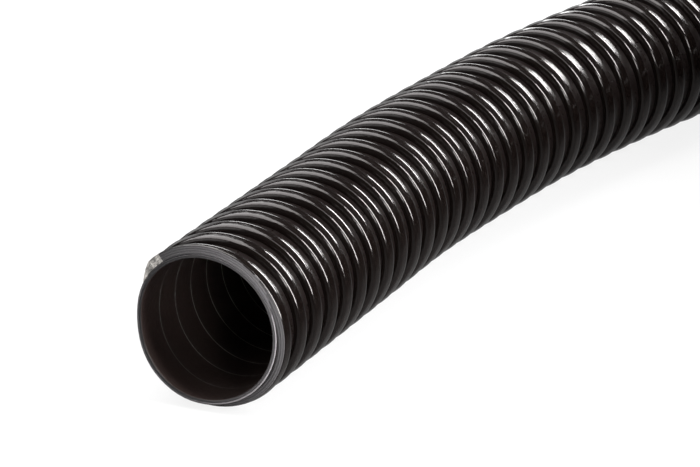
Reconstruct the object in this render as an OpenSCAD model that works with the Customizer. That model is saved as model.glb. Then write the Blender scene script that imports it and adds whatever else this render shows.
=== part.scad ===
// Spiral-wound vacuum hose for pool cleaning, cut bare at both ends.
//
// A smooth-bored wall is wound from a flexible strip, and a stiff rib runs round
// the outside of it as a single right-handed helix. Both ends are plain cuts, so
// the rib dies away into the cut. The free end lies out straight with its bore
// open for a cuff or a vacuum head's spigot, and the rest of the hose is wound
// into a three-turn coil and held by hook-and-loop straps.
//
// Frame: the origin is the centre of the free end's cut face. The mouth looks
// along -Y, the hose runs off along +Y, and +Z is up from the floor it lies on.

/* [Hose] */
// Inside diameter, which takes a spigot or a cuff's nose
bore_d = 38; // [32:0.5:51]
// Thickness of the wall between the turns of the rib
wall_t = 1.2; // [0.8:0.1:2]
// Height of the rib over the wall
rib_h = 2.3; // [1:0.1:3.5]
// Width of the rib where it meets the wall
rib_w = 4.4; // [3.4:0.1:6]
// Width of the rib's flattened top
rib_top_w = 3.4; // [1.4:0.1:4]
// Distance from one turn of the rib to the next
rib_pitch = 9.3; // [8:0.1:14]
// Where the rib's middle meets the cut: degrees up from the right, seen from the mouth
rib_start = 75; // [0:5:355]
// How far beyond that, in degrees, the rib's thin edge is broken off at a cut
rib_break = 75; // [0:15:75]
// Length of the whole hose from cut to cut
hose_length = 4200; // [4100:10:4700]

/* [Ends] */
// Straight length of the free end, which stays rigid
free_end_len = 66; // [50:1:75]
// Length of the stretch behind it that bends
bend_len = 66; // [60:1:90]
// Straight length of the other end, beyond its last turn
far_end_len = 50; // [30:1:80]

/* [Coil] */
// Where the far end leaves the coil, in degrees round its last turn from where the hose joins it
last_turn = 229; // [200:1:240]
// Space between two turns that lie side by side
turn_gap = 0.4; // [0.2:0.1:2]

/* [Straps] */
// Width of the hook-and-loop straps
strap_w = 25; // [15:1:40]
// Thickness of one layer of strap
strap_t = 1.6; // [1:0.1:3]
// Space between a strap and the turns it holds
strap_fit = 0.6; // [0.6:0.1:2]
// Length of the strap's end that laps over the loop
strap_lap = 38; // [20:1:44]

/* [Hidden] */

wall_r = bore_d / 2 + wall_t;
hose_r = wall_r + rib_h;
rib_root = 0.3;           // how deep the rib is bonded into the wall
rib_sides = 24;           // flats to one turn of the rib
tube_sides = 24;
ring_step = 22;           // from one ring of a swept tube to the next
shortest_edge = 0.25;     // where a cut leaves less of the rib's top than this, it ends
bore_overshoot = 1;
groove_fill = 1 / 3;      // half the width of the filler between two turns, in hose radii

// The stretch that isn't coiled, from the mouth to where it joins the outer turn.
coil_heading = 18;        // direction there, in degrees from +Y towards +X
coil_lift = strap_t + strap_fit;
LEAD = [
    [0, 0, 0], [0, 40, 0], [0, 80, 0], [0, 120, 0], [3, 160, 0], [7.5, 200, 0],
    [15.5, 240, 0], [26, 280, 0], [37.5, 320, 0.15 * coil_lift], [49, 360, 0.7 * coil_lift],
    [61, 400.3, coil_lift], [70, 428, coil_lift],
];

// The coil: two turns side by side on the floor and a third in the groove on top.
turn_step = 2 * hose_r + turn_gap;
lead_len = route_length(LEAD);
coil_turns = 2 + last_turn / 360;
coil_d = (hose_length - lead_len - far_end_len) / (PI * coil_turns);
OUTER = [coil_d / 2 + turn_step / 2, 0];
INNER = [coil_d / 2 - turn_step / 2, 0];
TOP = [coil_d / 2, turn_step * sqrt(3) / 2];
coil_centre = last(LEAD) + OUTER[0] * [cos(coil_heading), -sin(coil_heading), 0];
coil_start = 180 - coil_heading;
far_end_at = coil_start - last_turn;

// Straps, in degrees round the coil from where the hose joins it. The last one is past
// the far end, where there are only two turns to hold.
STRAPS = [14, 112, 214, 296];

black_wall = [0.075, 0.07, 0.068];
black_rib = [0.055, 0.05, 0.05];
black_coil = [0.09, 0.085, 0.085];
black_strap = [0.16, 0.16, 0.17];

// ---- points along a route ----

function last(list) = list[len(list) - 1];

// A route's point by number, with one more beyond each end in line with it.
function knot(route, i) =
    i < 0 ? 2 * route[0] - route[1]
    : i >= len(route) ? 2 * last(route) - route[len(route) - 2]
    : route[i];

function route_length(route, i = 1) =
    i >= len(route) ? 0 : norm(route[i] - route[i - 1]) + route_length(route, i + 1);

// The route's slope at knot i, weighed so that the nearer neighbour counts more.
function slope(route, i) =
    let (
        before = knot(route, i) - knot(route, i - 1),
        after = knot(route, i + 1) - knot(route, i),
        a = norm(before),
        b = norm(after)
    )
    (before * b / a + after * a / b) / (a + b);

// A smooth curve through the route's points, u from 0 to 1 between knots i and i + 1.
function curve(route, i, u) =
    let (p = knot(route, i), q = knot(route, i + 1), step = norm(q - p), v = 1 - u)
    v * v * (1 + 2 * u) * p + u * u * (1 + 2 * v) * q
        + step * u * v * (v * slope(route, i) - u * slope(route, i + 1));

// The point at a distance along the route.
function spot(route, s, i = 0) =
    let (step = norm(knot(route, i + 1) - knot(route, i)))
    s > step && i < len(route) - 2 ? spot(route, s - step, i + 1) : curve(route, i, s / step);

function unit(v) = v / norm(v);

// A point at a radius from the route: turn 0 is to the right and 90 is up.
function around(route, s, turn, r) =
    let (
        ahead = unit(spot(route, s + 0.5) - spot(route, s - 0.5)),
        right = unit(cross(ahead, [0, 0, 1])),
        up = cross(right, ahead)
    )
    spot(route, s) + r * (cos(turn) * right + sin(turn) * up);

// ---- solids swept along a route ----

// Skins a list of sections with equally many points, and closes both ends.
module skin(sections) {
    n = len(sections[0]);
    rings = len(sections);
    polyhedron(
        points = [for (ring = sections) each ring],
        faces = [
            [for (j = [0 : n - 1]) j],
            [for (j = [n - 1 : -1 : 0]) (rings - 1) * n + j],
            for (i = [0 : rings - 2], j = [0 : n - 1])
                let (k = (j + 1) % n)
                [i * n + k, i * n + j, (i + 1) * n + j, (i + 1) * n + k],
        ],
        convexity = 10
    );
}

// A hollow tube along the route from one distance to another.
module swept_tube(route, from, to) {
    steps = ceil((to - from) / ring_step);
    n = tube_sides;
    points = [
        for (i = [0 : steps], r = [wall_r, bore_d / 2], j = [0 : n - 1])
            around(route, from + (to - from) * i / steps, 360 * j / n, r)
    ];
    faces = [
        for (j = [0 : n - 1])
            let (k = (j + 1) % n, end = 2 * n * steps)
            each [
                [j, k, n + k, n + j],
                [end + k, end + j, end + n + j, end + n + k],
            ],
        for (i = [0 : steps - 1], j = [0 : n - 1])
            let (k = (j + 1) % n, a = 2 * n * i, b = 2 * n * (i + 1))
            each [
                [a + k, a + j, b + j, b + k],
                [a + n + j, a + n + k, b + n + k, b + n + j],
            ],
    ];
    polyhedron(points, faces, convexity = 10);
}

// Height of the rib's surface over the wall at a distance to either side of its middle.
function rib_profile(u) =
    let (flank = (rib_w - rib_top_w) / 2)
    rib_h * min(1, (rib_w / 2 - abs(u)) / flank);

// The rib round a stretch of hose, cut off flat at both ends of it. phase is the
// distance along the hose at which the rib's middle is at rib_start. At a bare cut
// the thin edge that is left beyond the rib's middle is broken off.
module rib_helix(route, from, to, phase, bare_start = false, bare_end = false) {
    edge = rib_top_w / 2 - shortest_edge;
    broken = rib_pitch * rib_break / 360;
    first = ceil((from - (bare_start ? broken : edge) - phase) * rib_sides / rib_pitch);
    final = floor((to + (bare_end ? broken : edge) - phase) * rib_sides / rib_pitch);
    skin([
        for (k = [first : final])
            let (middle = phase + rib_pitch * k / rib_sides)
            [
                for (side = [[-rib_w / 2, false], [-rib_top_w / 2, true], [rib_top_w / 2, true], [rib_w / 2, false]])
                    let (
                        u = min(max(side[0], from - middle), to - middle),
                        r = wall_r + (side[1] ? rib_profile(u) : -rib_root)
                    )
                    around(route, middle + u, rib_start - 360 * k / rib_sides, r)
            ]
    ]);
}

// A straight end with a true round bore, along +Y from the origin.
module straight_wall(length) {
    rotate([-90, 0, 0])
        difference() {
            cylinder(r = wall_r, h = length, $fn = 96);
            translate([0, 0, -bore_overshoot])
                cylinder(d = bore_d, h = length + 2 * bore_overshoot, $fn = 96);
        }
}

// ---- the free end, which swings on the stretch that bends ----

module free_end_wall() {
    color(black_wall) straight_wall(free_end_len);
}

module free_end_rib() {
    color(black_rib) rib_helix(LEAD, 0, free_end_len, 0, bare_start = true);
}

module bend_wall() {
    color(black_wall) swept_tube(LEAD, free_end_len, free_end_len + bend_len);
}

module bend_rib() {
    color(black_rib) rib_helix(LEAD, free_end_len, free_end_len + bend_len, 0);
}

module lead_wall() {
    color(black_wall) swept_tube(LEAD, free_end_len + bend_len, lead_len);
}

module lead_rib() {
    color(black_rib) rib_helix(LEAD, free_end_len + bend_len, lead_len, 0);
}

// ---- the coil and its straps ----

module at_coil(angle = 0) {
    translate(coil_centre) rotate([0, 0, angle]) children();
}

module turn_section(centre) {
    translate(centre) circle(r = hose_r, $fn = 96);
}

// Fills the narrow gap between the inner turn and the one on top of it.
module groove_filler() {
    along = unit(TOP - INNER);
    out = [along[1], -along[0]] * hose_r * groove_fill;
    polygon([INNER - out, TOP - out, TOP + out, INNER + out]);
}

// The outer turn is the one that the hose joins and that the far end leaves, so it
// doesn't close. The other two do.
module coiled_turns() {
    color(black_coil) {
        at_coil()
            rotate_extrude($fn = 180) {
                turn_section(INNER);
                turn_section(TOP);
                groove_filler();
            }
        at_coil(far_end_at)
            rotate_extrude(angle = last_turn, $fn = 180) {
                turn_section(OUTER);
                polygon([OUTER, INNER, TOP]);
            }
    }
}

// Outline round the turns at these corners, at a distance from them.
module bundle_outline(corners, grow) {
    n = len(corners);
    r = hose_r + grow;
    for (corner = corners) translate(corner) circle(r = r, $fn = 96);
    polygon([
        for (i = [0 : n - 1])
            let (
                a = corners[i],
                b = corners[(i + 1) % n],
                along = unit(b - a),
                out = [along[1], -along[0]]
            )
            each [a + r * out, b + r * out]
    ]);
}

// The strap's end, lapped over the loop on the slope from the top turn to the inner one.
module strap_end(corners) {
    along = unit(corners[0] - last(corners));
    out = [along[1], -along[0]];
    start = last(corners) + (hose_r + strap_fit + strap_t / 2) * out + strap_t * along;
    top = 1.5 * strap_t * out;
    polygon([start, start + strap_lap * along, start + strap_lap * along + top, start + top]);
}

module coil_strap(angle, corners) {
    color(black_strap)
        at_coil(coil_start - angle)
            rotate([90, 0, 0]) {
                linear_extrude(height = strap_w, center = true)
                    difference() {
                        bundle_outline(corners, strap_fit + strap_t);
                        bundle_outline(corners, strap_fit);
                    }
                linear_extrude(height = strap_w, center = true)
                    strap_end(corners);
            }
}

module coil_strap_1() { coil_strap(STRAPS[0], [INNER, OUTER, TOP]); }

module coil_strap_2() { coil_strap(STRAPS[1], [INNER, OUTER, TOP]); }

module coil_strap_3() { coil_strap(STRAPS[2], [INNER, OUTER, TOP]); }

module coil_strap_4() { coil_strap(STRAPS[3], [INNER, TOP]); }

// ---- the far end, straight on from the outer turn ----

module at_far_end() {
    at_coil(far_end_at) translate(OUTER) rotate([0, 0, 180]) children();
}

module far_end_wall() {
    color(black_wall) at_far_end() straight_wall(far_end_len);
}

module far_end_rib() {
    color(black_rib)
        at_far_end()
            rib_helix([[0, 0, 0], [0, far_end_len, 0]], 0, far_end_len, 0, bare_end = true);
}

free_end_wall();
free_end_rib();
bend_wall();
bend_rib();
lead_wall();
lead_rib();
coiled_turns();
far_end_wall();
far_end_rib();
coil_strap_1();
coil_strap_2();
coil_strap_3();
coil_strap_4();
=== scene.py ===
"""Spiral-wound vacuum hose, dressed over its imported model.

The hose is a flexible wall wound from a strip, with a stiff bead wound round the
outside of it. Both ends are plain cuts. The free end lies out straight, and the
rest is wound into a coil held by hook-and-loop straps.
"""

import functools
import math

import bmesh
import bpy
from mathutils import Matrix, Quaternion, Vector, noise


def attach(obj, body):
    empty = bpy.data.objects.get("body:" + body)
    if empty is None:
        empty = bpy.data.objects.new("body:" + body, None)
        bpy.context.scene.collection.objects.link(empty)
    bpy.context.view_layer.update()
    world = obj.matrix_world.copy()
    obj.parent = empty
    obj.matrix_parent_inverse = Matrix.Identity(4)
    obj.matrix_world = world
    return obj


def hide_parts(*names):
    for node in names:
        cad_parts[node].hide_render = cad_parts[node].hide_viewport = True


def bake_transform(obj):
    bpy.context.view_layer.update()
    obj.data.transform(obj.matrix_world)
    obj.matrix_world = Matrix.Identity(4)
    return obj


bl_info = {
    "name": "Wound Vacuum Hose",
    "version": (1, 0, 0),
    "blender": (4, 5, 0),
    "location": "View3D > Sidebar > Hose",
    "description": "Builds a ribbed, spiral-wound vacuum hose and the stage it lies on",
    "category": "Object",
}

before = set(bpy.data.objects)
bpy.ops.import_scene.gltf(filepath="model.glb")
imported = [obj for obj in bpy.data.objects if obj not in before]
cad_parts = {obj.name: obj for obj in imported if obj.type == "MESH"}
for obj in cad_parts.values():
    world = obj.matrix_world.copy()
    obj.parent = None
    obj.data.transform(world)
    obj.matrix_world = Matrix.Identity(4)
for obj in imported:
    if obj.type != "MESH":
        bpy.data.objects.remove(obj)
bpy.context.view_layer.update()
MM = 0.001

# The route of the hose, in millimetres, from the free end to where the coil starts. It rises there
# by the strap's thickness and fit, because the coil lies on its straps.
COIL_LIFT = 2.2
LEAD = [
    (0, 0, 0), (0, 40, 0), (0, 80, 0), (0, 120, 0), (3, 160, 0), (7.5, 200, 0),
    (15.5, 240, 0), (26, 280, 0), (37.5, 320, 0.15 * COIL_LIFT), (49, 360, 0.7 * COIL_LIFT),
    (61, 400.3, COIL_LIFT), (70, 428, COIL_LIFT),
]

# Angles of the coil, in degrees: the direction in which the hose joins it, from +Y towards +X, how
# far round its last turn the far end leaves it, between which angles of each lap the bundle of
# turns rolls, and where the straps are.
COIL_HEADING = 18
LAST_TURN = 229
TWIST_FROM, TWIST_TO = 12, 217
STRAP_AT = (14, 112, 214, 296)

# From the middle of one turn to the middle of the next, and the far end's straight length.
TURN_STEP = 45.4
FAR_END = 50

# How many points the centreline has between two knots of the lead, round the coil and along the
# far end.
LEAD_STEPS, COIL_STEPS, END_STEPS = 14, 1300, 17

# The winding is not quite even: between these distances the bead gains on its pitch, or falls
# behind it, by this much.
DRIFT = ((35, 85, 2.1), (95, 125, -0.65), (160, 240, -5.6), (300, 420, 1.55))

# The bead's section, as shares of half its width and of its height, from the foot that faces the
# free end. Its top rises away from the free end. The bead stands this deep in the wall, and its
# torn slope starts at this height.
SECTION = (
    (-1.0, 0), (-0.95, 0.35), (-0.86, 0.62), (-0.7, 0.78), (-0.4, 0.87), (-0.1, 0.92), (0.12, 0.96),
    (0.36, 1.0), (0.58, 0.98), (0.78, 0.8), (0.93, 0.4), (1.0, 0),
)
FOOT_SINK = 0.3
TORN_EDGE = 0.02

# The mouth isn't quite round. It is pressed in or out about these places round it, in degrees,
# over this width, by this much, and less and less along the hose.
MOUTH = ((183, 28, -0.95), (250, 25, 0.45))
MOUTH_DEPTH = 14

# The wall bulges by this much between two turns of the bead, and is uneven by this much over
# stretches of about this size.
BULGE = 0.1
UNEVEN = 0.06
UNEVEN_SIZE = 4.5

# The wall's edges are eased by this much at the cuts.
EASED = 0.12

# The cut face of the wall, from the skin inwards: how far below the outside each of its bands ends,
# and the band's finish. The last but one ends this far from the bore.
CUT_BANDS = ((0.06, "wall"), (0.46, "cut"), (0.54, "wall"), (0.95, "inner cut"))
BORE_LIP = 0.08

# The knife shaved the bead's flank between these angles round the hose, in degrees, and this deep,
# where the flank's normal leans at least this far towards the free end.
SHAVED_FROM, SHAVED_TO = -80, 50
SHAVED_DEPTH = 4
SHAVED_FACING = -0.6

# Sides of the wall's rings, near the free end and further on, rings to a turn of the bead on the
# outside near the free end, and how far apart and how many the bore's rings are there.
FINE_SIDES, COARSE_SIDES = 64, 32
RINGS_PER_TURN = 16
BORE_STEP, BORE_RINGS = 0.95, 150

# A face of the bead is on a cut if none of its corners is further from it than this, in metres.
ON_CUT = 2e-6

# A strap's section, round from one edge, as shares of half its width and of its thickness, the
# radius of its cut end, and the length over which the lap climbs on to the loop. Its UV map takes
# each side of the section to be this wide, which is about right on the outer face.
STRAP_SECTION = (
    (-1, 0.25), (-0.97, 0), (0.97, 0), (1, 0.25), (1, 0.75), (0.97, 1),
    (0.5, 1), (0, 1), (-0.5, 1), (-0.97, 1), (-1, 0.75),
)
STRAP_CORNER = 5
STRAP_CLIMB = 6
STRAP_UV_STEP = 5

# Black plastic shines a little warm.
WARM = (1.0, 0.945, 0.93, 1.0)

# The camera, in metres, and the way it looks.
CAMERA_AT = (0.4471, -0.8910, 0.3874)
CAMERA_AHEAD = (-0.3903, 0.8551, -0.3412)
LENS = 217.2

# Each lamp's place, width and height in metres, its power in watts and how far it is rolled, in
# degrees. They all face one place on the free end's stretch.
LAMP_AIM = (0.0, 0.12, 0.0)
LAMPS = {
    "key strip": ((0.37, 0.82, 0.27), 0.18, 0.66, 15, -40),
    "back strip": ((-0.75, 1.905, 0.65), 0.3, 0.7, 4.2, 60),
    "side window": ((2.03, 0.0, 0.99), 0.5, 2.2, 118, 0),
    "ceiling": ((-0.8, 0.34, 2.03), 2.5, 2.5, 96, 0),
    "over strip": ((0.85, 0.0, 2.4), 0.5, 1.5, 9, 0),
    "front fill": ((-0.95, -1.4, 1.1), 1.2, 1.2, 6, 0),
    "right strip": ((1.265, -1.21, 0.52), 0.25, 0.8, 9, -46),
}
WORLD_LIGHT = 0.05

# The floor's half width, and the backdrop: how far off, how far to either side and how high it is,
# square to the way that the camera looks. MIRRORED is how bright each is in a reflection. The
# camera sees them as plain white by this share, and the rest is their matt paper, which takes the
# hose's shadow.
FLOOR_REACH = 4.0
BACKDROP_AHEAD = Vector((-0.415, 0.91, 0))
BACKDROP_ACROSS = Vector((0.91, 0.415, 0))
BACKDROP_FAR, BACKDROP_LEFT, BACKDROP_RIGHT, BACKDROP_TOP = 2.5, 2.6, 0.44, 1.0
FLOOR_MIRRORED, BACKDROP_MIRRORED = 0.34, 0.8
PLAIN_WHITE = 0.86

# Kinds of node that are used most.
MATH = "ShaderNodeMath"
VECTOR_MATH = "ShaderNodeVectorMath"
SPLIT = "ShaderNodeSeparateXYZ"
MAP_RANGE = "ShaderNodeMapRange"
NOISE = "ShaderNodeTexNoise"
MIX = "ShaderNodeMix"
BUMP = "ShaderNodeBump"


# ---- sizes and colours that a user may change ----


def length(name, text, value):
    """A length in millimetres."""
    return bpy.props.FloatProperty(name=name, description=text, default=value, min=0, precision=2)


def angle(name, text, degrees):
    """An angle, which is kept in radians."""
    return bpy.props.FloatProperty(
        name=name, description=text, default=math.radians(degrees), subtype="ANGLE"
    )


def colour(name, text, value):
    """A colour, given as an sRGB hex value."""
    return bpy.props.FloatVectorProperty(
        name=name, description=text, default=linear(value), subtype="COLOR", size=4, min=0, max=1
    )


def linear(text):
    """The linear colour of an sRGB hex value."""
    parts = [int(text[i:i + 2], 16) / 255 for i in (1, 3, 5)]
    return tuple(c / 12.92 if c <= 0.04045 else ((c + 0.055) / 1.055) ** 2.4 for c in parts) + (1.0,)


class HoseSizes(bpy.types.PropertyGroup):
    """Sizes of the hose and its straps, in millimetres"""

    bore: length("Bore", "Inside diameter", 38.0)
    wall: length("Wall", "Thickness of the wall between the turns of the bead", 1.2)
    bead_height: length("Bead height", "Height of the bead over the wall", 2.3)
    bead_width: length("Bead width", "Width of the bead where it meets the wall", 4.4)
    pitch: length("Pitch", "Distance from one turn of the bead to the next", 9.3)
    hose_length: length("Length", "Length of the whole hose from cut to cut", 4200.0)
    fine_length: length("Fine length", "How far from the free end the mesh is fine", 340.0)
    strap_width: length("Strap width", "Width of the straps", 25.0)
    strap_thickness: length("Strap thickness", "Thickness of one layer of strap", 1.6)
    strap_fit: length("Strap fit", "Space between a strap and the turns", 0.6)
    strap_lap: length("Strap lap", "Length of the strap's end over the loop", 38.0)
    bead_start: angle(
        "Bead start", "Where the middle of the bead meets the free end's cut, up from the right", 105
    )
    bead_break: angle("Bead break", "How far beyond that the bead's thin edge is broken off", 45)
    bead_tear: angle(
        "Bead tear", "How far round the hose the torn slope at the bead's end reaches", 16
    )

    @property
    def outer(self):
        """The radius of the wall's outside."""
        return self.bore / 2 + self.wall

    @property
    def over_bead(self):
        """The radius over the bead."""
        return self.outer + self.bead_height


class HoseColours(bpy.types.PropertyGroup):
    """Colours of the hose, its straps and the stage"""

    # Painted light: the bore is painted paler than the wall, though it is the same strip.
    bore: colour("Bore", "The inside of the wall", "#281f1d")
    # The seam's pale colour is a painted highlight on the welded seam's ridge.
    weld: colour("Weld", "The strip's welded seam, seen inside", "#c8cac4")
    wall: colour("Wall", "The wall between the turns of the bead", "#0f0a09")
    bead: colour("Bead", "The bead's skin", "#0b0706")
    cut: colour("Cut wall", "The wall where it is cut", "#615e60")
    foam: colour("Foam core", "The bead's core where it is cut or torn", "#a8a49f")
    strap: colour("Strap", "The straps' webbing", "#121214")
    floor: colour("Floor", "The floor and the backdrop", "#e9e9e9")


def sizes():
    return bpy.context.scene.hose_sizes


def colours():
    return bpy.context.scene.hose_colours


# ---- the line that the hose follows ----


def knot(i):
    """A point of the lead by number, with one more in line beyond each end."""
    points = [Vector(p) for p in LEAD]
    if i < 0:
        return 2 * points[0] - points[1]
    if i >= len(points):
        return 2 * points[-1] - points[-2]
    return points[i]


def slope(i):
    """The lead's slope at a knot, the nearer neighbour counting more."""
    before = knot(i) - knot(i - 1)
    after = knot(i + 1) - knot(i)
    a, b = before.length, after.length
    return (before * (b / a) + after * (a / b)) / (a + b)


def curve_point(i, u):
    """A point of the lead between two knots, u from 0 to 1."""
    p, q = knot(i), knot(i + 1)
    v = 1 - u
    bend = slope(i) * v - slope(i + 1) * u
    return p * (v * v * (1 + 2 * u)) + q * (u * u * (1 + 2 * v)) + bend * ((q - p).length * u * v)


def coil_size():
    """The coil's centre and the radius at the middle of its bundle of turns."""
    lead = sum((knot(i + 1) - knot(i)).length for i in range(len(LEAD) - 1))
    turns = 2 + LAST_TURN / 360
    radius = (sizes().hose_length - lead - FAR_END) / (2 * math.pi * turns)
    heading = math.radians(COIL_HEADING)
    aside = Vector((math.cos(heading), -math.sin(heading), 0))
    return knot(len(LEAD) - 1) + aside * (radius + TURN_STEP / 2), radius


def strands(turned_by):
    """Where the turns lie in the bundle, as (out from its middle, height over its lowest), in the
    order that the hose passes this angle round the coil. The bundle rolls a third of a turn in
    each lap, so that the outer strand goes in underneath and the inner one goes up on top."""
    reach = TURN_STEP / math.sqrt(3)
    u = min(max((turned_by - TWIST_FROM) / (TWIST_TO - TWIST_FROM), 0), 1)
    rolled = u * u * u * (10 - 15 * u + 6 * u * u)
    places = []
    for lap in range(3):
        a = math.radians(-30 - 120 * (lap + rolled))
        places.append((reach * math.cos(a), reach * math.sin(a)))
    lowest = min(z for _, z in places)
    return [(r, z - lowest) for r, z in places]


def coil_point(centre, radius, total):
    """A point of the coiled hose by how many degrees it has gone round."""
    lap = min(int(total // 360), 2)
    out, height = strands(total - 360 * lap)[lap]
    a = math.radians(180 - COIL_HEADING - total)
    return centre + Vector(((radius + out) * math.cos(a), (radius + out) * math.sin(a), height))


class Line:
    """The hose's centreline, in millimetres, with the directions across it."""

    def __init__(self):
        knots = len(LEAD) - 1
        points = [curve_point(i, k / LEAD_STEPS) for i in range(knots) for k in range(LEAD_STEPS)]
        around = 720 + LAST_TURN
        centre, radius = coil_size()
        points += [coil_point(centre, radius, around * k / COIL_STEPS) for k in range(COIL_STEPS + 1)]
        leaves = points[-1]
        ahead = leaves - points[-2]
        ahead.z = 0
        ahead.normalize()
        points += [leaves + ahead * (FAR_END * k / END_STEPS) for k in range(1, END_STEPS + 1)]
        self.points = points
        self.at = [0.0]
        for a, b in zip(points, points[1:]):
            self.at.append(self.at[-1] + (b - a).length)
        self.length = self.at[-1]
        self.coiled = self.at[-1 - END_STEPS] - self.at[knots * LEAD_STEPS]
        self.ahead = []
        for i in range(len(points)):
            a, b = points[max(i - 1, 0)], points[min(i + 1, len(points) - 1)]
            self.ahead.append((b - a).normalized())
        self.last = 0

    def frame(self, s):
        """The centre, the direction ahead, to the right and up, at a distance along the hose."""
        s = min(max(s, 0.0), self.length)
        i = min(self.last, len(self.at) - 2)
        while i > 0 and self.at[i] > s:
            i -= 1
        while i < len(self.at) - 2 and self.at[i + 1] < s:
            i += 1
        self.last = i
        u = (s - self.at[i]) / (self.at[i + 1] - self.at[i])
        centre = self.points[i].lerp(self.points[i + 1], u)
        ahead = self.ahead[i].lerp(self.ahead[i + 1], u).normalized()
        right = ahead.cross(Vector((0, 0, 1))).normalized()
        return centre, ahead, right, right.cross(ahead)


def wound(s):
    """How far the winding has come at this distance, with its unevenness added."""
    for low, high, gain in DRIFT:
        u = min(max((s - low) / (high - low), 0), 1)
        s += gain * u * u * (3 - 2 * u)
    return s


def lap_at(size, s, turned=0.0):
    """How many laps of the bead lie between a place on the hose and the bead's start."""
    return wound(s) / size.pitch + (turned - size.bead_start) / (2 * math.pi)


# ---- nodes and finishes ----


def add(tree, kind, inputs=(), **settings):
    """Adds a node with these settings, and with these values or links in its inputs, by their
    order or by their name. A node given as an input stands for its first output."""
    node = tree.nodes.new(kind)
    for key, value in settings.items():
        setattr(node, key, value)
    for key, value in inputs.items() if isinstance(inputs, dict) else enumerate(inputs):
        if isinstance(value, bpy.types.Node):
            value = value.outputs[0]
        if isinstance(value, bpy.types.NodeSocket):
            tree.links.new(value, node.inputs[key])
        else:
            node.inputs[key].default_value = value
    return node


def empty_tree(owner):
    """The node tree of a material or a world, with nothing in it."""
    owner.use_nodes = True
    owner.node_tree.nodes.clear()
    return owner.node_tree


def per_mm(size):
    """A texture's scale at which its features are about this many millimetres across."""
    return 1 / (size * MM)


def shade(value, share):
    """A colour made this many times as bright."""
    return tuple(c * share for c in value[:3]) + (1.0,)


def wall_finish(tree, where):
    # EVA sheet, extruded as a strip and welded hot edge to edge: a smooth glossy skin that is a
    # little lumpy where it was pressed down between the turns of the bead.
    cloud = add(tree, NOISE, {"Vector": where, "Scale": per_mm(9), "Detail": 3})
    base = colours().wall
    tone = add(tree, MIX, {0: cloud, 6: shade(base, 0.8), 7: shade(base, 1.25)}, data_type="RGBA")
    fine = add(tree, NOISE, {"Vector": where, "Scale": per_mm(0.9), "Detail": 2})
    lumps = add(tree, NOISE, {"Vector": where, "Scale": per_mm(2.6), "Detail": 2})
    height = add(tree, MATH, (fine, 0.12, lumps), operation="MULTIPLY_ADD")
    return {
        "Base Color": tone.outputs[2],
        "Roughness": add(tree, MATH, (fine, 0.3, 0.17), operation="MULTIPLY_ADD"),
        "IOR": 1.49,
        "Specular Tint": WARM,
        "Normal": add(tree, BUMP, {"Height": height, "Strength": 0.5, "Distance": 0.00012}),
    }


def bore_finish(tree, where):
    # The same strip seen from inside, painted darker at the mouth and paler over the first eight
    # laps.
    # This is painted light and shade, and its colour is painted paler than the wall's for the same
    # reason.
    # Its welded seam is a real ridge, drawn as a bump. The thin, paler line that runs round the bore
    # once a lap is a painted highlight on that ridge, and it comes up over the first few laps.
    # The UV map holds turns round the hose, and laps of the bead along it.
    turns, laps, _ = add(tree, SPLIT, (add(tree, "ShaderNodeUVMap", uv_map="UVMap"),)).outputs
    wound_on = add(tree, MATH, (turns, laps), operation="ADD")
    lap = add(tree, MATH, (wound_on,), operation="FRACT")
    on_seam = add(tree, MATH, (lap, 0.42, 0.016), operation="COMPARE")
    behind_cut = add(tree, MATH, (laps, 0.45), operation="GREATER_THAN")
    on_seam = add(tree, MATH, (on_seam, behind_cut), operation="MULTIPLY")
    # The seam's painted highlight comes up over the first few laps.
    coming_up = add(tree, MATH, (laps, 0.22), operation="MULTIPLY")
    coming_up = add(tree, MATH, (coming_up, 1.0), operation="MINIMUM")
    seam = add(tree, MATH, (on_seam, coming_up), operation="MULTIPLY")
    # Painted light and shade: the bore is darkest at the mouth and paler over the first eight laps.
    deep = add(tree, MATH, (laps, 0.12), operation="MULTIPLY")
    deep = add(tree, MATH, (deep, 1.0), operation="MINIMUM")
    base = colours().bore
    tone = add(tree, MIX, {0: deep, 6: base, 7: shade(base, 3.5)}, data_type="RGBA").outputs[2]
    # The seam is painted pale: a painted highlight on its ridge.
    tone = add(tree, MIX, {0: seam, 6: tone, 7: colours().weld}, data_type="RGBA").outputs[2]
    fine = add(tree, NOISE, {"Vector": where, "Scale": per_mm(1.2), "Detail": 2})
    height = add(tree, MATH, (seam, 0.4, fine), operation="MULTIPLY_ADD")
    return {
        "Base Color": tone,
        "Roughness": add(tree, MATH, (fine, 0.2, 0.32), operation="MULTIPLY_ADD"),
        "IOR": 1.49,
        "Specular Tint": WARM,
        "Normal": add(tree, BUMP, {"Height": height, "Strength": 0.4, "Distance": 0.00015}),
    }


def bead_finish(tree, where):
    # Rigid foamed plastic with a solid extruded skin, which shines as it left the die.
    cloud = add(tree, NOISE, {"Vector": where, "Scale": per_mm(14), "Detail": 3})
    base = colours().bead
    tone = add(tree, MIX, {0: cloud, 6: shade(base, 0.8), 7: shade(base, 1.2)}, data_type="RGBA")
    fine = add(tree, NOISE, {"Vector": where, "Scale": per_mm(0.7), "Detail": 2})
    lumps = add(tree, NOISE, {"Vector": where, "Scale": per_mm(2.2), "Detail": 1.5})
    height = add(tree, MATH, (fine, 0.1, lumps), operation="MULTIPLY_ADD")
    return {
        "Base Color": tone.outputs[2],
        "Roughness": add(tree, MATH, (fine, 0.1, 0.1), operation="MULTIPLY_ADD"),
        "IOR": 1.5,
        "Specular Tint": WARM,
        "Normal": add(tree, BUMP, {"Height": height, "Strength": 0.3, "Distance": 0.0002}),
    }


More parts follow.
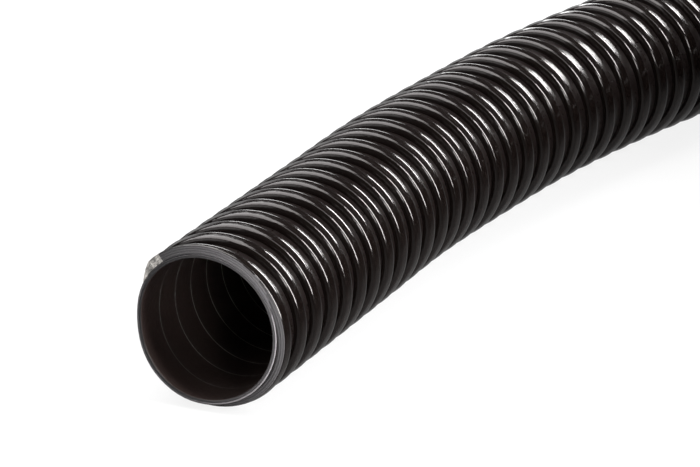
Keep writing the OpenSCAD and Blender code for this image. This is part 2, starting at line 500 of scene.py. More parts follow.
def cut_finish(tree, where, share=1.0):
    # Plastic as a knife leaves it: matt, and paler than the skin, with fine drag lines 0.62 mm
    # apart round the hose.
    grain = add(tree, NOISE, {"Vector": where, "Scale": per_mm(0.5), "Detail": 4, "Roughness": 0.7})
    across = add(tree, VECTOR_MATH, (where, (1, 0, 1)), operation="MULTIPLY")
    radius = add(tree, VECTOR_MATH, (across,), operation="LENGTH").outputs["Value"]
    drag = add(tree, MATH, (radius, 2 * math.pi * per_mm(0.62)), operation="MULTIPLY")
    drag = add(tree, MATH, (drag,), operation="SINE")
    lines = add(tree, MATH, (drag, 0.3, grain), operation="MULTIPLY_ADD")
    # The cut face is painted paler on the right, from 10 mm left of the middle on: painted light from
    # the lamps on that side.
    aside = add(tree, SPLIT, (where,))
    painted_light_right = add(tree, MAP_RANGE, (aside, -0.01, 0.021, 0.6, 2.0))
    dark, pale = shade(colours().cut, 0.5 * share), shade(colours().cut, 1.5 * share)
    tone = add(tree, MIX, {0: lines, 6: dark, 7: pale}, data_type="RGBA").outputs[2]
    return {
        "Base Color": add(tree, VECTOR_MATH, {0: tone, "Scale": painted_light_right}, operation="SCALE"),
        "Roughness": add(tree, MATH, (lines, 0.3, 0.45), operation="MULTIPLY_ADD"),
        "IOR": 1.45,
        "Normal": add(tree, BUMP, {"Height": lines, "Strength": 0.6, "Distance": 0.0002}),
    }


def foam_finish(tree, where):
    # The bead's foamed core, cut and torn open: grey, matt and full of small cells.
    cells = add(tree, "ShaderNodeTexVoronoi", {"Vector": where, "Scale": per_mm(0.4)})
    hole = add(tree, MAP_RANGE, (cells, 0.12, 0.4, 0.0, 1.0))
    grain = add(tree, NOISE, {"Vector": where, "Scale": per_mm(0.3), "Detail": 3, "Roughness": 0.6})
    patches = add(tree, NOISE, {"Vector": where, "Scale": per_mm(1.6), "Detail": 2})
    patches = add(tree, MAP_RANGE, (patches, 0.35, 0.65))
    base = colours().foam
    tone = add(tree, MIX, {0: grain, 6: shade(base, 0.6), 7: shade(base, 1.3)}, data_type="RGBA")
    tone = add(tree, MIX, {0: patches, 6: shade(base, 0.25), 7: tone.outputs[2]}, data_type="RGBA")
    tone = add(tree, MIX, {0: hole, 6: shade(base, 0.12), 7: tone.outputs[2]}, data_type="RGBA")
    height = add(tree, MATH, (grain, 0.3, hole), operation="MULTIPLY_ADD")
    return {
        "Base Color": tone.outputs[2],
        "Roughness": add(tree, MATH, (grain, 0.2, 0.6), operation="MULTIPLY_ADD"),
        "IOR": 1.45,
        "Normal": add(tree, BUMP, {"Height": height, "Strength": 0.8, "Distance": 0.0003}),
    }


def strap_finish(tree, where):
    # Woven nylon with a brushed loop face: soft sheen, threads about half a millimetre apart,
    # drawn about twice as coarse so that they show. The UV map holds millimetres along the strap
    # and across its outer face.
    along, round_it, _ = add(tree, SPLIT, (add(tree, "ShaderNodeUVMap", uv_map="UVMap"),)).outputs
    warp = add(tree, MATH, (round_it, 2 * math.pi / 0.9), operation="MULTIPLY")
    warp = add(tree, MATH, (warp,), operation="SINE")
    weft = add(tree, MATH, (along, 2 * math.pi / 1.1), operation="MULTIPLY")
    weft = add(tree, MATH, (weft,), operation="SINE")
    crossed = add(tree, MATH, (warp, weft), operation="MULTIPLY")
    weave = add(tree, MATH, (crossed, 0.5, 0.5), operation="MULTIPLY_ADD")
    fuzz = add(tree, NOISE, {"Vector": where, "Scale": per_mm(0.8), "Detail": 4, "Roughness": 0.7})
    threads = add(tree, MATH, (weave, fuzz), operation="ADD")
    threads = add(tree, MATH, (threads, 0.5), operation="MULTIPLY")
    base = colours().strap
    tone = add(tree, MIX, {0: threads, 6: shade(base, 0.5), 7: shade(base, 1.7)}, data_type="RGBA")
    return {
        "Base Color": tone.outputs[2],
        "Roughness": 0.75,
        "IOR": 1.5,
        "Sheen Weight": 0.15,
        "Normal": add(tree, BUMP, {"Height": threads, "Strength": 0.7, "Distance": 0.0003}),
    }


# Each finish's material, and the function that gives its shader's inputs. That function is given
# the node tree, and the place on the piece.
FINISHES = {
    "wall": ("black EVA strip, wound and welded", wall_finish),
    "bore": ("black EVA strip, bore side", bore_finish),
    "bead": ("black extruded bead, solid skin", bead_finish),
    "cut": ("EVA strip, knife-cut edge", cut_finish),
    "bead cut": ("extruded bead, knife-cut end", functools.partial(cut_finish, share=0.6)),
    "inner cut": ("black plastic, shaved by the knife", functools.partial(cut_finish, share=0.25)),
    "foam": ("foamed plastic core, cut open", foam_finish),
    "strap": ("woven nylon webbing", strap_finish),
}


def finish_of(kind):
    """The material of this kind, made once."""
    name, shader_inputs = FINISHES[kind]
    made = bpy.data.materials.get(name)
    if made is None:
        made = bpy.data.materials.new(name)
        tree = empty_tree(made)
        where = add(tree, "ShaderNodeTexCoord").outputs["Object"]
        shader = add(tree, "ShaderNodeBsdfPrincipled", shader_inputs(tree, where))
        add(tree, "ShaderNodeOutputMaterial", {"Surface": shader})
    return made


# ---- meshes ----


def new_object(name, mesh, *materials):
    made = bpy.data.objects.new(name, mesh)
    for material in materials:
        mesh.materials.append(material)
    bpy.context.collection.objects.link(made)
    return made


class Skin:
    """A mesh under construction: vertices, and faces with their materials and UVs."""

    def __init__(self):
        self.vertices = []
        self.faces = []
        self.materials = []
        self.uvs = []

    def ring(self, points):
        start = len(self.vertices)
        self.vertices += [p * MM for p in points]
        return list(range(start, start + len(points)))

    def face(self, corners, uvs, material, flip=False):
        self.faces.append(corners[::-1] if flip else corners)
        self.uvs.append(uvs[::-1] if flip else uvs)
        self.materials.append(material)

    def band(self, a, b, va, vb, material, flip=False):
        """Faces between two rings, the second with as many vertices or with half of them."""
        n = len(a)
        for j in range(len(b)):
            k = (j + 1) % len(b)
            u, w = j / len(b), (j + 1) / len(b)
            if len(b) == n:
                corners = [a[j], a[k], b[k], b[j]]
                self.face(corners, [(u, va), (w, va), (w, vb), (u, vb)], material, flip)
                continue
            m = (2 * j + 1) / n
            p, q, r = a[2 * j], a[2 * j + 1], a[(2 * j + 2) % n]
            self.face([p, q, b[j]], [(u, va), (m, va), (u, vb)], material, flip)
            self.face([q, b[k], b[j]], [(m, va), (w, vb), (u, vb)], material, flip)
            self.face([q, r, b[k]], [(m, va), (w, va), (w, vb)], material, flip)

    def mesh(self, name):
        made = bpy.data.meshes.new(name)
        made.from_pydata(self.vertices, [], self.faces)
        made.polygons.foreach_set("material_index", self.materials)
        layer = made.uv_layers.new(name="UVMap")
        flat = [c for face in self.uvs for uv in face for c in uv]
        layer.data.foreach_set("uv", flat)
        made.shade_smooth()
        made.update()
        return made


# ---- the wall ----


def pressed(s, turned):
    """How far the mouth's shape is out of round at a place on the hose."""
    out = 0
    for middle, width, gain in MOUTH:
        sharp = 2 / math.radians(width) ** 2
        out += gain * math.exp(sharp * (math.cos(turned - math.radians(middle)) - 1))
    return out * math.exp(-s / MOUTH_DEPTH)


def ring_points(line, s, sides, radius):
    """Points round the hose, from the right and over the top as seen from the free end's mouth.
    The radius is a function of the distance and of the angle."""
    centre, _, right, up = line.frame(s)
    points = []
    for j in range(sides):
        a = 2 * math.pi * j / sides
        r = radius(s, a) + pressed(s, a)
        points.append(centre + (right * math.cos(a) + up * math.sin(a)) * r)
    return points


def even(radius):
    """A radius that is the same everywhere."""
    return lambda s, turned: radius


def wall_radius(size, s, turned):
    """The wall bulges a little between two turns of the bead, and is uneven. Along the hose and
    round it, one unit of the noise is about as long."""
    bulge = BULGE * (0.5 - 0.5 * math.cos(2 * math.pi * lap_at(size, s, turned)))
    x, y = UNEVEN_SIZE * math.cos(turned), UNEVEN_SIZE * math.sin(turned)
    return size.outer + bulge + UNEVEN * noise.noise(Vector((x, y, s / UNEVEN_SIZE)))


def add_tube(skin, line, radius, fine_step, fine_count, coarse_step, material, flip):
    """Adds the outside or the bore, with its rings close together near the free end and further
    apart beyond. Returns its first and last ring."""
    size = sizes()
    stops = [EASED] + [fine_step * i for i in range(1, fine_count + 1)]
    rings = [skin.ring(ring_points(line, s, FINE_SIDES, radius)) for s in stops]
    start = stops[-1]
    count = int((line.length - start) / coarse_step)
    for i in range(1, count + 1):
        s = start + (line.length - EASED - start) * i / count
        stops.append(s)
        rings.append(skin.ring(ring_points(line, s, COARSE_SIDES, radius)))
    for i in range(len(rings) - 1):
        laps = lap_at(size, stops[i]), lap_at(size, stops[i + 1])
        skin.band(rings[i], rings[i + 1], *laps, material, flip)
    return rings[0], rings[-1]


def add_cut_face(skin, line, s, first, last, finishes, flip):
    """Closes the wall at a cut, between the outside's ring and the bore's."""
    size = sizes()
    lips = [size.outer - depth for depth, _ in CUT_BANDS] + [size.bore / 2 + BORE_LIP]
    kinds = [kind for _, kind in CUT_BANDS] + ["inner cut", "bore"]
    loops = [skin.ring(ring_points(line, s, len(first), even(r))) for r in lips]
    chain = [first, *loops, last]
    lap = lap_at(size, s)
    for a, b, kind in zip(chain, chain[1:], kinds):
        skin.band(a, b, lap, lap, finishes.index(kind), flip)


class HOSE_OT_wall(bpy.types.Operator):
    """Build the wall: one smooth-bored tube along the whole line"""

    bl_idname = "hose.wall"
    bl_label = "Wall"

    def execute(self, context):
        size = sizes()
        line = Line()
        skin = Skin()
        finishes = ("wall", "bore", "cut", "inner cut")
        uneven = functools.partial(wall_radius, size)
        smooth = even(size.bore / 2)
        step = size.pitch / RINGS_PER_TURN
        count = int(size.fine_length / step)
        outside = add_tube(skin, line, uneven, step, count, size.pitch / 2, 0, False)
        bore = add_tube(skin, line, smooth, BORE_STEP, BORE_RINGS, size.pitch, 1, True)
        add_cut_face(skin, line, 0, outside[0], bore[0], finishes, True)
        add_cut_face(skin, line, line.length, outside[1], bore[1], finishes, False)
        made = new_object("hose_wall", skin.mesh("hose_wall"), *map(finish_of, finishes))
        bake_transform(made)
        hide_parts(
            "free_end_wall", "bend_wall", "lead_wall", "coiled_turns", "far_end_wall"
        )
        return {"FINISHED"}


# ---- the bead, wound by geometry nodes ----


BEAD_INPUTS = {
    "Geometry": "Geometry", "Line": "Object", "Section": "Object", "From": "Float", "To": "Float",
    "Cut start": "Float", "Cut end": "Float", "Pitch": "Float", "Wall radius": "Float",
    "Width": "Float", "Height": "Float", "Tear": "Float", "Start": "Float", "Sides": "Int",
    "Section points": "Int", "Finish": "Material",
}


def bead_sheet(tree, given):
    """A sheet with one row for each step round the hose, and one column for each section point.
    Also gives where the bead's middle is along the hose, and the column."""
    run = add(tree, MATH, (given["To"], given["From"]), operation="SUBTRACT")
    turns = add(tree, MATH, (run, given["Pitch"]), operation="DIVIDE")
    steps = add(tree, MATH, (turns, given["Sides"]), operation="MULTIPLY")
    rows = add(tree, MATH, (steps,), operation="CEIL")
    rows = add(tree, MATH, (rows, 1), operation="ADD")
    columns = add(tree, MATH, (given["Section points"], 3), operation="ADD")
    sheet = add(
        tree, "GeometryNodeMeshGrid",
        {"Size X": 1.0, "Size Y": 1.0, "Vertices X": rows, "Vertices Y": columns},
    )
    place = add(tree, SPLIT, (add(tree, "GeometryNodeInputPosition"),)).outputs
    share = add(tree, MATH, (place[0], 0.5), operation="ADD")
    middle = add(tree, MATH, (share, run, given["From"]), operation="MULTIPLY_ADD")
    column = add(tree, MATH, (place[1], 0.5), operation="ADD")
    last = add(tree, MATH, (columns, 1), operation="SUBTRACT")
    column = add(tree, MATH, (column, last), operation="MULTIPLY")
    column = add(tree, MATH, (column,), operation="ROUND")
    return sheet, middle, column


def bead_section(tree, given, middle, column):
    """How far to the side of the bead's middle a column lies, and how high over the wall. The
    columns go from the foot that faces the free end over the top to the other, and back under
    the bead."""
    last = add(tree, MATH, (given["Section points"], 1), operation="SUBTRACT")
    under = add(tree, MATH, (last, 1.5), operation="ADD")
    shape = add(
        tree, "GeometryNodeObjectInfo", {"Object": given["Section"]}, transform_space="RELATIVE"
    )
    share = add(tree, MATH, (column, last), operation="DIVIDE")
    share = add(tree, MATH, (share, 1.0), operation="MINIMUM")
    outline = add(
        tree, "GeometryNodeSampleCurve",
        {"Curves": shape.outputs["Geometry"], "Factor": share},
        mode="FACTOR", data_type="FLOAT", use_all_curves=False,
    )
    drawn = add(tree, SPLIT, (outline.outputs["Position"],)).outputs
    foot = add(tree, MATH, (given["Width"], -0.5), operation="MULTIPLY")
    back = add(tree, MATH, (column, under), operation="GREATER_THAN")
    across = add(
        tree, "GeometryNodeSwitch",
        {"Switch": back, "False": drawn[0], "True": foot}, input_type="FLOAT",
    )
    # Where the bead was torn off, it rises from the wall along a slope.
    torn = add(tree, MATH, (middle, given["From"]), operation="SUBTRACT")
    torn = add(tree, MATH, (torn, given["Tear"]), operation="DIVIDE")
    torn = add(tree, MATH, (torn, given["Height"], TORN_EDGE * MM), operation="MULTIPLY_ADD")
    risen = add(tree, MATH, (drawn[1], torn), operation="MINIMUM")
    sunk = add(tree, MATH, (column, under, 0.9), operation="COMPARE")
    rise = add(
        tree, "GeometryNodeSwitch",
        {"Switch": sunk, "False": risen, "True": -FOOT_SINK * MM}, input_type="FLOAT",
    )
    return across, rise


def bead_turn(tree, given, middle):
    """The angle round the hose of the bead's middle, with the winding's unevenness."""
    come = middle
    for low, high, gain in DRIFT:
        gained = add(
            tree, MAP_RANGE, (middle, low * MM, high * MM, 0.0, gain * MM),
            interpolation_type="SMOOTHSTEP",
        )
        come = add(tree, MATH, (come, gained), operation="ADD")
    laps = add(tree, MATH, (come, given["Pitch"]), operation="DIVIDE")
    turned = add(tree, MATH, (laps, 2 * math.pi), operation="MULTIPLY")
    return add(tree, MATH, (given["Start"], turned), operation="SUBTRACT")


def bead_radius(tree, given, rise, turn, where):
    """The distance from the line, with the mouth pressed out of round."""
    out = 0.0
    for about, width, gain in MOUTH:
        near = add(tree, MATH, (turn, math.radians(about)), operation="SUBTRACT")
        near = add(tree, MATH, (near,), operation="COSINE")
        near = add(tree, MATH, (near, 1.0), operation="SUBTRACT")
        near = add(tree, MATH, (near, 2 / math.radians(width) ** 2), operation="MULTIPLY")
        near = add(tree, MATH, (near,), operation="EXPONENT")
        out = add(tree, MATH, (near, gain * MM, out), operation="MULTIPLY_ADD")
    fades = add(tree, MATH, (where, -1 / (MOUTH_DEPTH * MM)), operation="MULTIPLY")
    fades = add(tree, MATH, (fades,), operation="EXPONENT")
    radius = add(tree, MATH, (given["Wall radius"], rise), operation="ADD")
    return add(tree, MATH, (out, fades, radius), operation="MULTIPLY_ADD")


def bead_tree():
    """Winds a bead round a line. Its section is a rounded bar that stands on the wall."""
    tree = bpy.data.node_groups.new("Wound bead", "GeometryNodeTree")
    for name, kind in BEAD_INPUTS.items():
        tree.interface.new_socket(name, in_out="INPUT", socket_type="NodeSocket" + kind)
    tree.interface.new_socket("Geometry", in_out="OUTPUT", socket_type="NodeSocketGeometry")
    given = add(tree, "NodeGroupInput").outputs
    sheet, middle, column = bead_sheet(tree, given)
    across, rise = bead_section(tree, given, middle, column)
    where = add(tree, MATH, (middle, across), operation="ADD")
    where = add(tree, MATH, (where, given["Cut end"]), operation="MINIMUM")
    where = add(tree, MATH, (where, given["Cut start"]), operation="MAXIMUM")

    # Round the line.
    route = add(tree, "GeometryNodeObjectInfo", {"Object": given["Line"]}, transform_space="RELATIVE")
    sample = add(
        tree, "GeometryNodeSampleCurve", {"Curves": route.outputs["Geometry"], "Length": where},
        mode="LENGTH", data_type="FLOAT", use_all_curves=False,
    ).outputs
    right = add(tree, VECTOR_MATH, (sample["Tangent"], (0, 0, 1)), operation="CROSS_PRODUCT")
    right = add(tree, VECTOR_MATH, (right,), operation="NORMALIZE")
    up = add(tree, VECTOR_MATH, (right, sample["Tangent"]), operation="CROSS_PRODUCT")
    turn = bead_turn(tree, given, middle)
    radius = bead_radius(tree, given, rise, turn, where)
    legs = []
    for direction, part in ((right, "COSINE"), (up, "SINE")):
        reach = add(tree, MATH, (turn,), operation=part)
        reach = add(tree, MATH, (radius, reach), operation="MULTIPLY")
        legs.append(add(tree, VECTOR_MATH, {0: direction, "Scale": reach}, operation="SCALE"))
    from_line = add(tree, VECTOR_MATH, legs, operation="ADD")
    spot = add(tree, VECTOR_MATH, (sample["Position"], from_line), operation="ADD")

    made = add(
        tree, "GeometryNodeStoreNamedAttribute",
        {"Geometry": sheet.outputs["Mesh"], "Name": "UVMap", "Value": sheet.outputs["UV Map"]},
        data_type="FLOAT2", domain="CORNER",
    )
    made = add(tree, "GeometryNodeSetPosition", {"Geometry": made, "Position": spot})
    made = add(tree, "GeometryNodeMergeByDistance", {"Geometry": made, "Distance": 0.002 * MM})
    made = add(tree, "GeometryNodeSetShadeSmooth", {"Geometry": made})
    made = add(tree, "GeometryNodeRealizeInstances", {"Geometry": made})
    made = add(tree, "GeometryNodeSetMaterial", {"Geometry": made, "Material": given["Finish"]})
    add(tree, "NodeGroupOutput", {"Geometry": made})
    return tree


def new_curve(name, kind, points):
    """A curve of one spline through points in millimetres, for the nodes to sample."""
    curve = bpy.data.curves.new(name, "CURVE")
    curve.dimensions = "3D"
    spline = curve.splines.new(kind)
    spline.points.add(len(points) - 1)
    for point, (x, y, z) in zip(spline.points, points):
        point.co = (x * MM, y * MM, z * MM, 1)
    made = bpy.data.objects.new(name, curve)
    bpy.context.collection.objects.link(made)
    return made


def section_curve():
    """The bead's section as a curve: across the bead in X, and its height over the wall in Y."""
    size = sizes()
    half, high = size.bead_width / 2, size.bead_height
    made = new_curve("bead section", "NURBS", [(u * half, h * high, 0) for u, h in SECTION])
    spline = made.data.splines[0]
    spline.use_endpoint_u = True
    spline.order_u = 3
    spline.resolution_u = 8
    return made


def wound_bead(name, tree, values):
    """Evaluates the tree with these inputs, and returns a plain mesh object."""
    holder = new_object(name, bpy.data.meshes.new(name))
    modifier = holder.modifiers.new("Bead", "NODES")
    modifier.node_group = tree
    for item in tree.interface.items_tree:
        if item.in_out == "INPUT" and item.name in values:
            modifier[item.identifier] = values[item.name]
    bpy.context.view_layer.update()
    graph = bpy.context.evaluated_depsgraph_get()
    shape = bpy.data.meshes.new_from_object(
        holder.evaluated_get(graph), preserve_all_data_layers=True, depsgraph=graph
    )
    holder.modifiers.remove(modifier)
    holder.data = shape
    shape.name = name
    return holder


def close_bead(piece, line):
    """Closes the bead's ends, turns its faces outwards and gives the cut faces their finishes."""
    size = sizes()
    finishes = ("bead", "bead cut", "foam", "inner cut")
    piece.data.materials.clear()
    for kind in finishes:
        piece.data.materials.append(finish_of(kind))
    shape = bmesh.new()
    shape.from_mesh(piece.data)
    bmesh.ops.dissolve_degenerate(shape, dist=1e-7, edges=shape.edges)
    open_edges = [e for e in shape.edges if e.is_boundary]
    bmesh.ops.holes_fill(shape, edges=open_edges, sides=0)
    bmesh.ops.recalc_face_normals(shape, faces=shape.faces)
    cuts = [line.frame(0)[:2], line.frame(line.length)[:2]]
    torn_to = size.bead_start + size.bead_break
    torn_from = torn_to - 1.5 * size.bead_tear
    for f in shape.faces:
        kind = "bead"
        for centre, ahead in cuts:
            if all(abs((v.co - centre * MM).dot(ahead)) < ON_CUT for v in f.verts):
                kind = "bead cut"
                f.smooth = False
        # The core shows where the bead's end is torn, and the knife shaved the bead's flank
        # where it leaves the cut.
        spot = f.calc_center_median() / MM
        turned = math.atan2(spot.z, spot.x)
        shaved = SHAVED_FROM < math.degrees(turned) < SHAVED_TO and f.normal.y < SHAVED_FACING
        if spot.y < 1 and torn_from < turned < torn_to:
            kind = "foam"
        elif kind == "bead" and spot.y < SHAVED_DEPTH and shaved:
            kind = "inner cut"
        f.material_index = finishes.index(kind)
    shape.to_mesh(piece.data)
    shape.free()
    piece.data.update()


class HOSE_OT_bead(bpy.types.Operator):
    """Wind the bead round the wall"""

    bl_idname = "hose.bead"
    bl_label = "Bead"

    def execute(self, context):
        size = sizes()
        line = Line()
        route = new_curve("hose line", "POLY", line.points)
        section = section_curve()
        tree = bead_tree()
        broken = size.pitch * size.bead_break / (2 * math.pi)
        tear = size.pitch * size.bead_tear / (2 * math.pi)
        # A torn slope this short doesn't show.
        no_tear = 0.001
        coil_from = line.length - FAR_END - line.coiled
        coil_to = coil_from + line.coiled
        common = {
            "Cut start": 0.0,
            "Cut end": line.length * MM,
            "Pitch": size.pitch * MM,
            "Line": route,
            "Section": section,
            "Wall radius": size.outer * MM,
            "Width": size.bead_width * MM,
            "Height": size.bead_height * MM,
            "Start": size.bead_start,
            "Finish": finish_of("bead"),
        }
        # One piece for each stretch of the hose, with where it starts and ends, how far its torn
        # slope reaches, its sides to a lap and the points of its section.
        plan = (
            ("bead_near", -broken, coil_from, tear, 72, 17),
            ("bead_coil", coil_from, coil_to, no_tear, 26, 6),
            ("bead_far", coil_to, line.length + broken, no_tear, 64, 17),
        )
        pieces = []
        for name, start, end, torn, sides, points in plan:
            piece = wound_bead(name, tree, {
                **common, "From": start * MM, "To": end * MM, "Tear": torn * MM,
                "Sides": sides, "Section points": points,
            })
            close_bead(piece, line)
            pieces.append(piece)
        near, coil, far = pieces
        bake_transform(near)
        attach(coil, "coil")
        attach(far, "coil")
        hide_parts("free_end_rib", "bend_rib", "lead_rib")
        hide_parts("far_end_rib")
        bpy.data.objects.remove(route)
        bpy.data.objects.remove(section)
        return {"FINISHED"}


# ---- the straps ----


def loop_outline(centres, radius):
    """The tight outline round circles at these centres, as points and outward directions."""
    points = []
    count = 120
    for i in range(count):
        a = 2 * math.pi * i / count
        out = (math.cos(a), math.sin(a))
        best = max(centres, key=lambda c: c[0] * out[0] + c[1] * out[1])
        points.append((best[0] + radius * out[0], best[1] + radius * out[1], out))
    return points


def strap_path(size, centres):
    """The strap's line round the bundle and over its own start, as points, outward directions,
    how far each is lifted off the turns, and distances along it."""
    loop = loop_outline(centres, size.over_bead + size.strap_fit)
    # It starts at the top of the side that faces the coil's middle.
    top = max(range(len(loop)), key=lambda i: loop[i][1] - 0.6 * loop[i][0])
    loop = loop[top:] + loop[:top]
    closed = loop + [loop[0]]
    run = [0.0]
    for a, b in zip(closed, closed[1:]):
        run.append(run[-1] + math.hypot(b[0] - a[0], b[1] - a[1]))
    path = [(*p, 0.0, d) for p, d in zip(closed, run)]
    # The lap goes on over the loop's start, one thickness further out.
    for p, d in zip(closed[1:], run[1:]):
        if d > size.strap_lap:
            break
        path.append((*p, size.strap_thickness * min(1.0, d / STRAP_CLIMB), run[-1] + d))
    return path


def strap_mesh(name, turned_by, laps):
    """A strap round the bundle at an angle of the coil, with its end lapped over it."""
    size = sizes()
    centre, radius = coil_size()
    places = strands(turned_by)
    path = strap_path(size, [(radius + places[lap][0], places[lap][1]) for lap in laps])
    turn = math.radians(180 - COIL_HEADING - turned_by)
    out = Vector((math.cos(turn), math.sin(turn), 0))
    side = Vector((-math.sin(turn), math.cos(turn), 0))
    half = size.strap_width / 2
    skin = Skin()
    rows = []
    for r, z, outward, lift, d in path:
        # The end is cut round.
        left = path[-1][4] - d
        narrow = half
        if left <= STRAP_CORNER:
            rounding = max(STRAP_CORNER ** 2 - (STRAP_CORNER - left) ** 2, 0)
            narrow = half - STRAP_CORNER + math.sqrt(rounding)
        section = []
        for w, t in STRAP_SECTION:
            rise = size.strap_thickness * t + lift
            above = Vector((0, 0, z + outward[1] * rise))
            section.append(centre + out * (r + outward[0] * rise) + above + side * (w * narrow))
        rows.append(skin.ring(section))
    sides = len(STRAP_SECTION)
    for i in range(len(rows) - 1):
        a, b = path[i][4], path[i + 1][4]
        for j in range(sides):
            k = (j + 1) % sides
            low, high = j * STRAP_UV_STEP, (j + 1) * STRAP_UV_STEP
            corners = [rows[i][j], rows[i][k], rows[i + 1][k], rows[i + 1][j]]
            skin.face(corners, [(a, low), (a, high), (b, high), (b, low)], 0)
    skin.face(rows[0][::-1], [(0, 0)] * sides, 0)
    skin.face(rows[-1], [(0, 0)] * sides, 0)
    made = skin.mesh(name)
    shape = bmesh.new()
    shape.from_mesh(made)
    bmesh.ops.recalc_face_normals(shape, faces=shape.faces)
    shape.to_mesh(made)
    shape.free()
    return made


class HOSE_OT_straps(bpy.types.Operator):
    """Fit the hook-and-loop straps round the coil"""

    bl_idname = "hose.straps"
    bl_label = "Straps"

    def execute(self, context):
        for number, turned_by in enumerate(STRAP_AT, 1):
            laps = (0, 1, 2) if turned_by < LAST_TURN else (0, 1)
            name = f"strap_{number}"
            made = new_object(name, strap_mesh(name, turned_by, laps), finish_of("strap"))
            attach(made, "coil")
            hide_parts(f"coil_strap_{number}")
        return {"FINISHED"}


class HOSE_OT_lay(bpy.types.Operator):
    bl_idname = "hose.lay"
    bl_label = "Length and lay"

    def execute(self, context):
        line = Line()
        wall = bpy.data.objects.get("hose_wall")
        if wall is None:
            raise RuntimeError("build the wall first")
        step = 8
        count = int(line.length / step)
        path = [tuple(line.frame(line.length * i / count)[0] * MM) for i in range(count + 1)]
        return {"FINISHED"}


# ---- camera, floor and light ----


class HOSE_OT_camera(bpy.types.Operator):
    """Set the camera over the free end"""

    bl_idname = "hose.camera"
    bl_label = "Camera"

    def execute(self, context):
        lens = bpy.data.cameras.new("camera")
        lens.sensor_width = 36
        lens.lens = LENS
        lens.clip_start = 0.05
        camera = bpy.data.objects.new("camera", lens)
        camera.location = CAMERA_AT
        camera.rotation_euler = Vector(CAMERA_AHEAD).to_track_quat("-Z", "Y").to_euler()
        bpy.context.collection.objects.link(camera)
        context.scene.camera = camera
        return {"FINISHED"}


def painted_pool_beside_hose(tree):
    """A painted pool of light on the floor, seen only in reflections: 1 within 25 mm of the free
    end's stretch of hose, and 0.15 from 90 mm away on either side. The hose bows to the right from
    0.1 m on."""
    place = add(tree, SPLIT, (add(tree, "ShaderNodeNewGeometry").outputs["Position"],)).outputs
    beyond = add(tree, MATH, (place[1], 0.1), operation="SUBTRACT")
    beyond = add(tree, MATH, (beyond, 0.0), operation="MAXIMUM")
    bowed = add(tree, MATH, (beyond, beyond), operation="MULTIPLY")
    bowed = add(tree, MATH, (bowed, 0.72), operation="MULTIPLY")
    away = add(tree, MATH, (place[0], bowed), operation="SUBTRACT")
    away = add(tree, MATH, (away,), operation="ABSOLUTE")
    return add(tree, MAP_RANGE, (away, 0.025, 0.09, 1.0, 0.15))


def stage_material(name, mirrored, where=None):
    """Matt white paper, which is this bright in a reflection."""
    made = bpy.data.materials.new(name)
    tree = empty_tree(made)
    matt = add(tree, "ShaderNodeBsdfDiffuse", {"Color": colours().floor})
    path = add(tree, "ShaderNodeLightPath").outputs
    # Where a mask is given, the brightness in reflections is a painted pool of light beside the hose.
    glow = add(tree, MATH, (where(tree), mirrored), operation="MULTIPLY") if where else mirrored
    strength = add(tree, MATH, (path["Is Camera Ray"], glow), operation="MAXIMUM")
    white = add(tree, "ShaderNodeEmission", {"Color": (1, 1, 1, 1), "Strength": strength})
    through = add(
        tree, MATH, (path["Is Camera Ray"], path["Is Transmission Ray"]), operation="MAXIMUM"
    )
    amount = add(tree, MATH, (through, PLAIN_WHITE), operation="MULTIPLY")
    amount = add(tree, MATH, (amount, path["Is Glossy Ray"]), operation="MAXIMUM")
    mixed = add(tree, "ShaderNodeMixShader", (amount, matt, white))
    add(tree, "ShaderNodeOutputMaterial", {"Surface": mixed})
    return made


def stage_board(name, corners, material):
    """A flat board of the stage, with these corners in metres."""
    mesh = bpy.data.meshes.new(name)
    mesh.from_pydata(corners, [], [(0, 1, 2, 3)])
    return new_object(name, mesh, material)


def area_light(name, at, width, height, power, roll):
    lamp = bpy.data.lights.new(name, "AREA")
    lamp.shape = "RECTANGLE"
    lamp.size = width
    lamp.size_y = height
    lamp.energy = power
    made = bpy.data.objects.new(name, lamp)
    made.location = at
    facing = (Vector(LAMP_AIM) - Vector(at)).to_track_quat("-Z", "Y")
    made.rotation_euler = (facing @ Quaternion((0, 0, 1), math.radians(roll))).to_euler()
    bpy.context.collection.objects.link(made)


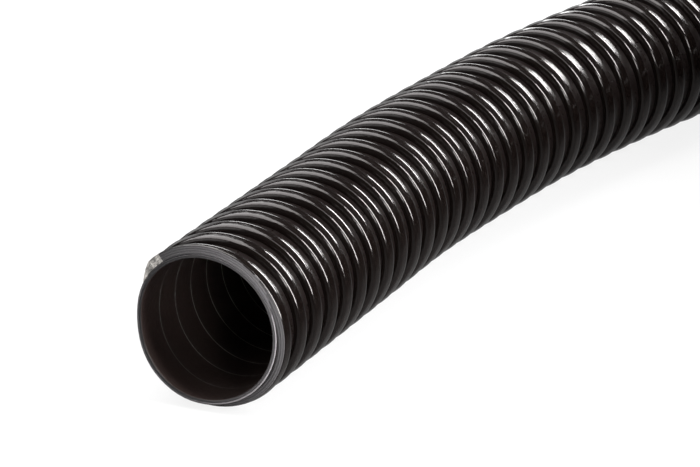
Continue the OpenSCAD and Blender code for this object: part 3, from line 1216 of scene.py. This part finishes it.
class HOSE_OT_stage(bpy.types.Operator):
    """Lay the floor, hang the backdrop and set the lights"""

    bl_idname = "hose.stage"
    bl_label = "Stage and light"

    def execute(self, context):
        low = -sizes().over_bead * MM
        r = FLOOR_REACH
        board = stage_board(
            "floor", [(-r, -r, low), (r, -r, low), (r, r, low), (-r, r, low)],
            stage_material("floor, matt white paper", FLOOR_MIRRORED, painted_pool_beside_hose),
        )
        middle = BACKDROP_AHEAD * BACKDROP_FAR
        left = middle - BACKDROP_ACROSS * BACKDROP_LEFT
        right = middle + BACKDROP_ACROSS * BACKDROP_RIGHT
        screen = stage_board(
            "backdrop",
            [c + Vector((0, 0, z)) for c, z in
             ((left, low), (right, low), (right, BACKDROP_TOP), (left, BACKDROP_TOP))],
            stage_material("backdrop, matt white paper", BACKDROP_MIRRORED),
        )
        for name, lamp in LAMPS.items():
            area_light(name, *lamp)
        world = bpy.data.worlds.new("studio")
        context.scene.world = world
        tree = empty_tree(world)
        dim = add(tree, "ShaderNodeBackground", {"Color": (1, 1, 1, 1), "Strength": WORLD_LIGHT})
        white = add(tree, "ShaderNodeBackground", {"Color": (1, 1, 1, 1), "Strength": 1.0})
        path = add(tree, "ShaderNodeLightPath").outputs
        mixed = add(tree, "ShaderNodeMixShader", (path["Is Camera Ray"], dim, white))
        add(tree, "ShaderNodeOutputWorld", {"Surface": mixed})
        context.scene.view_settings.view_transform = "Standard"
        return {"FINISHED"}


class HOSE_PT_panel(bpy.types.Panel):
    """Buttons for every part of the hose"""

    bl_idname = "HOSE_PT_panel"
    bl_label = "Wound Vacuum Hose"
    bl_space_type = "VIEW_3D"
    bl_region_type = "UI"
    bl_category = "Hose"

    def draw(self, context):
        for name in ("hose_sizes", "hose_colours"):
            group = getattr(context.scene, name)
            for key in group.__annotations__:
                self.layout.prop(group, key)
        for kind in STEPS:
            self.layout.operator(kind.bl_idname)


STEPS = (HOSE_OT_camera, HOSE_OT_wall, HOSE_OT_bead, HOSE_OT_straps, HOSE_OT_lay, HOSE_OT_stage)
CLASSES = (HoseSizes, HoseColours, *STEPS, HOSE_PT_panel)


def register():
    for kind in CLASSES:
        bpy.utils.register_class(kind)
    bpy.types.Scene.hose_sizes = bpy.props.PointerProperty(type=HoseSizes)
    bpy.types.Scene.hose_colours = bpy.props.PointerProperty(type=HoseColours)


def unregister():
    del bpy.types.Scene.hose_colours
    del bpy.types.Scene.hose_sizes
    for kind in reversed(CLASSES):
        bpy.utils.unregister_class(kind)


def main():
    register()
    for kind in STEPS:
        group, name = kind.bl_idname.split(".")
        getattr(getattr(bpy.ops, group), name)()


if __name__ == "__main__":
    main()
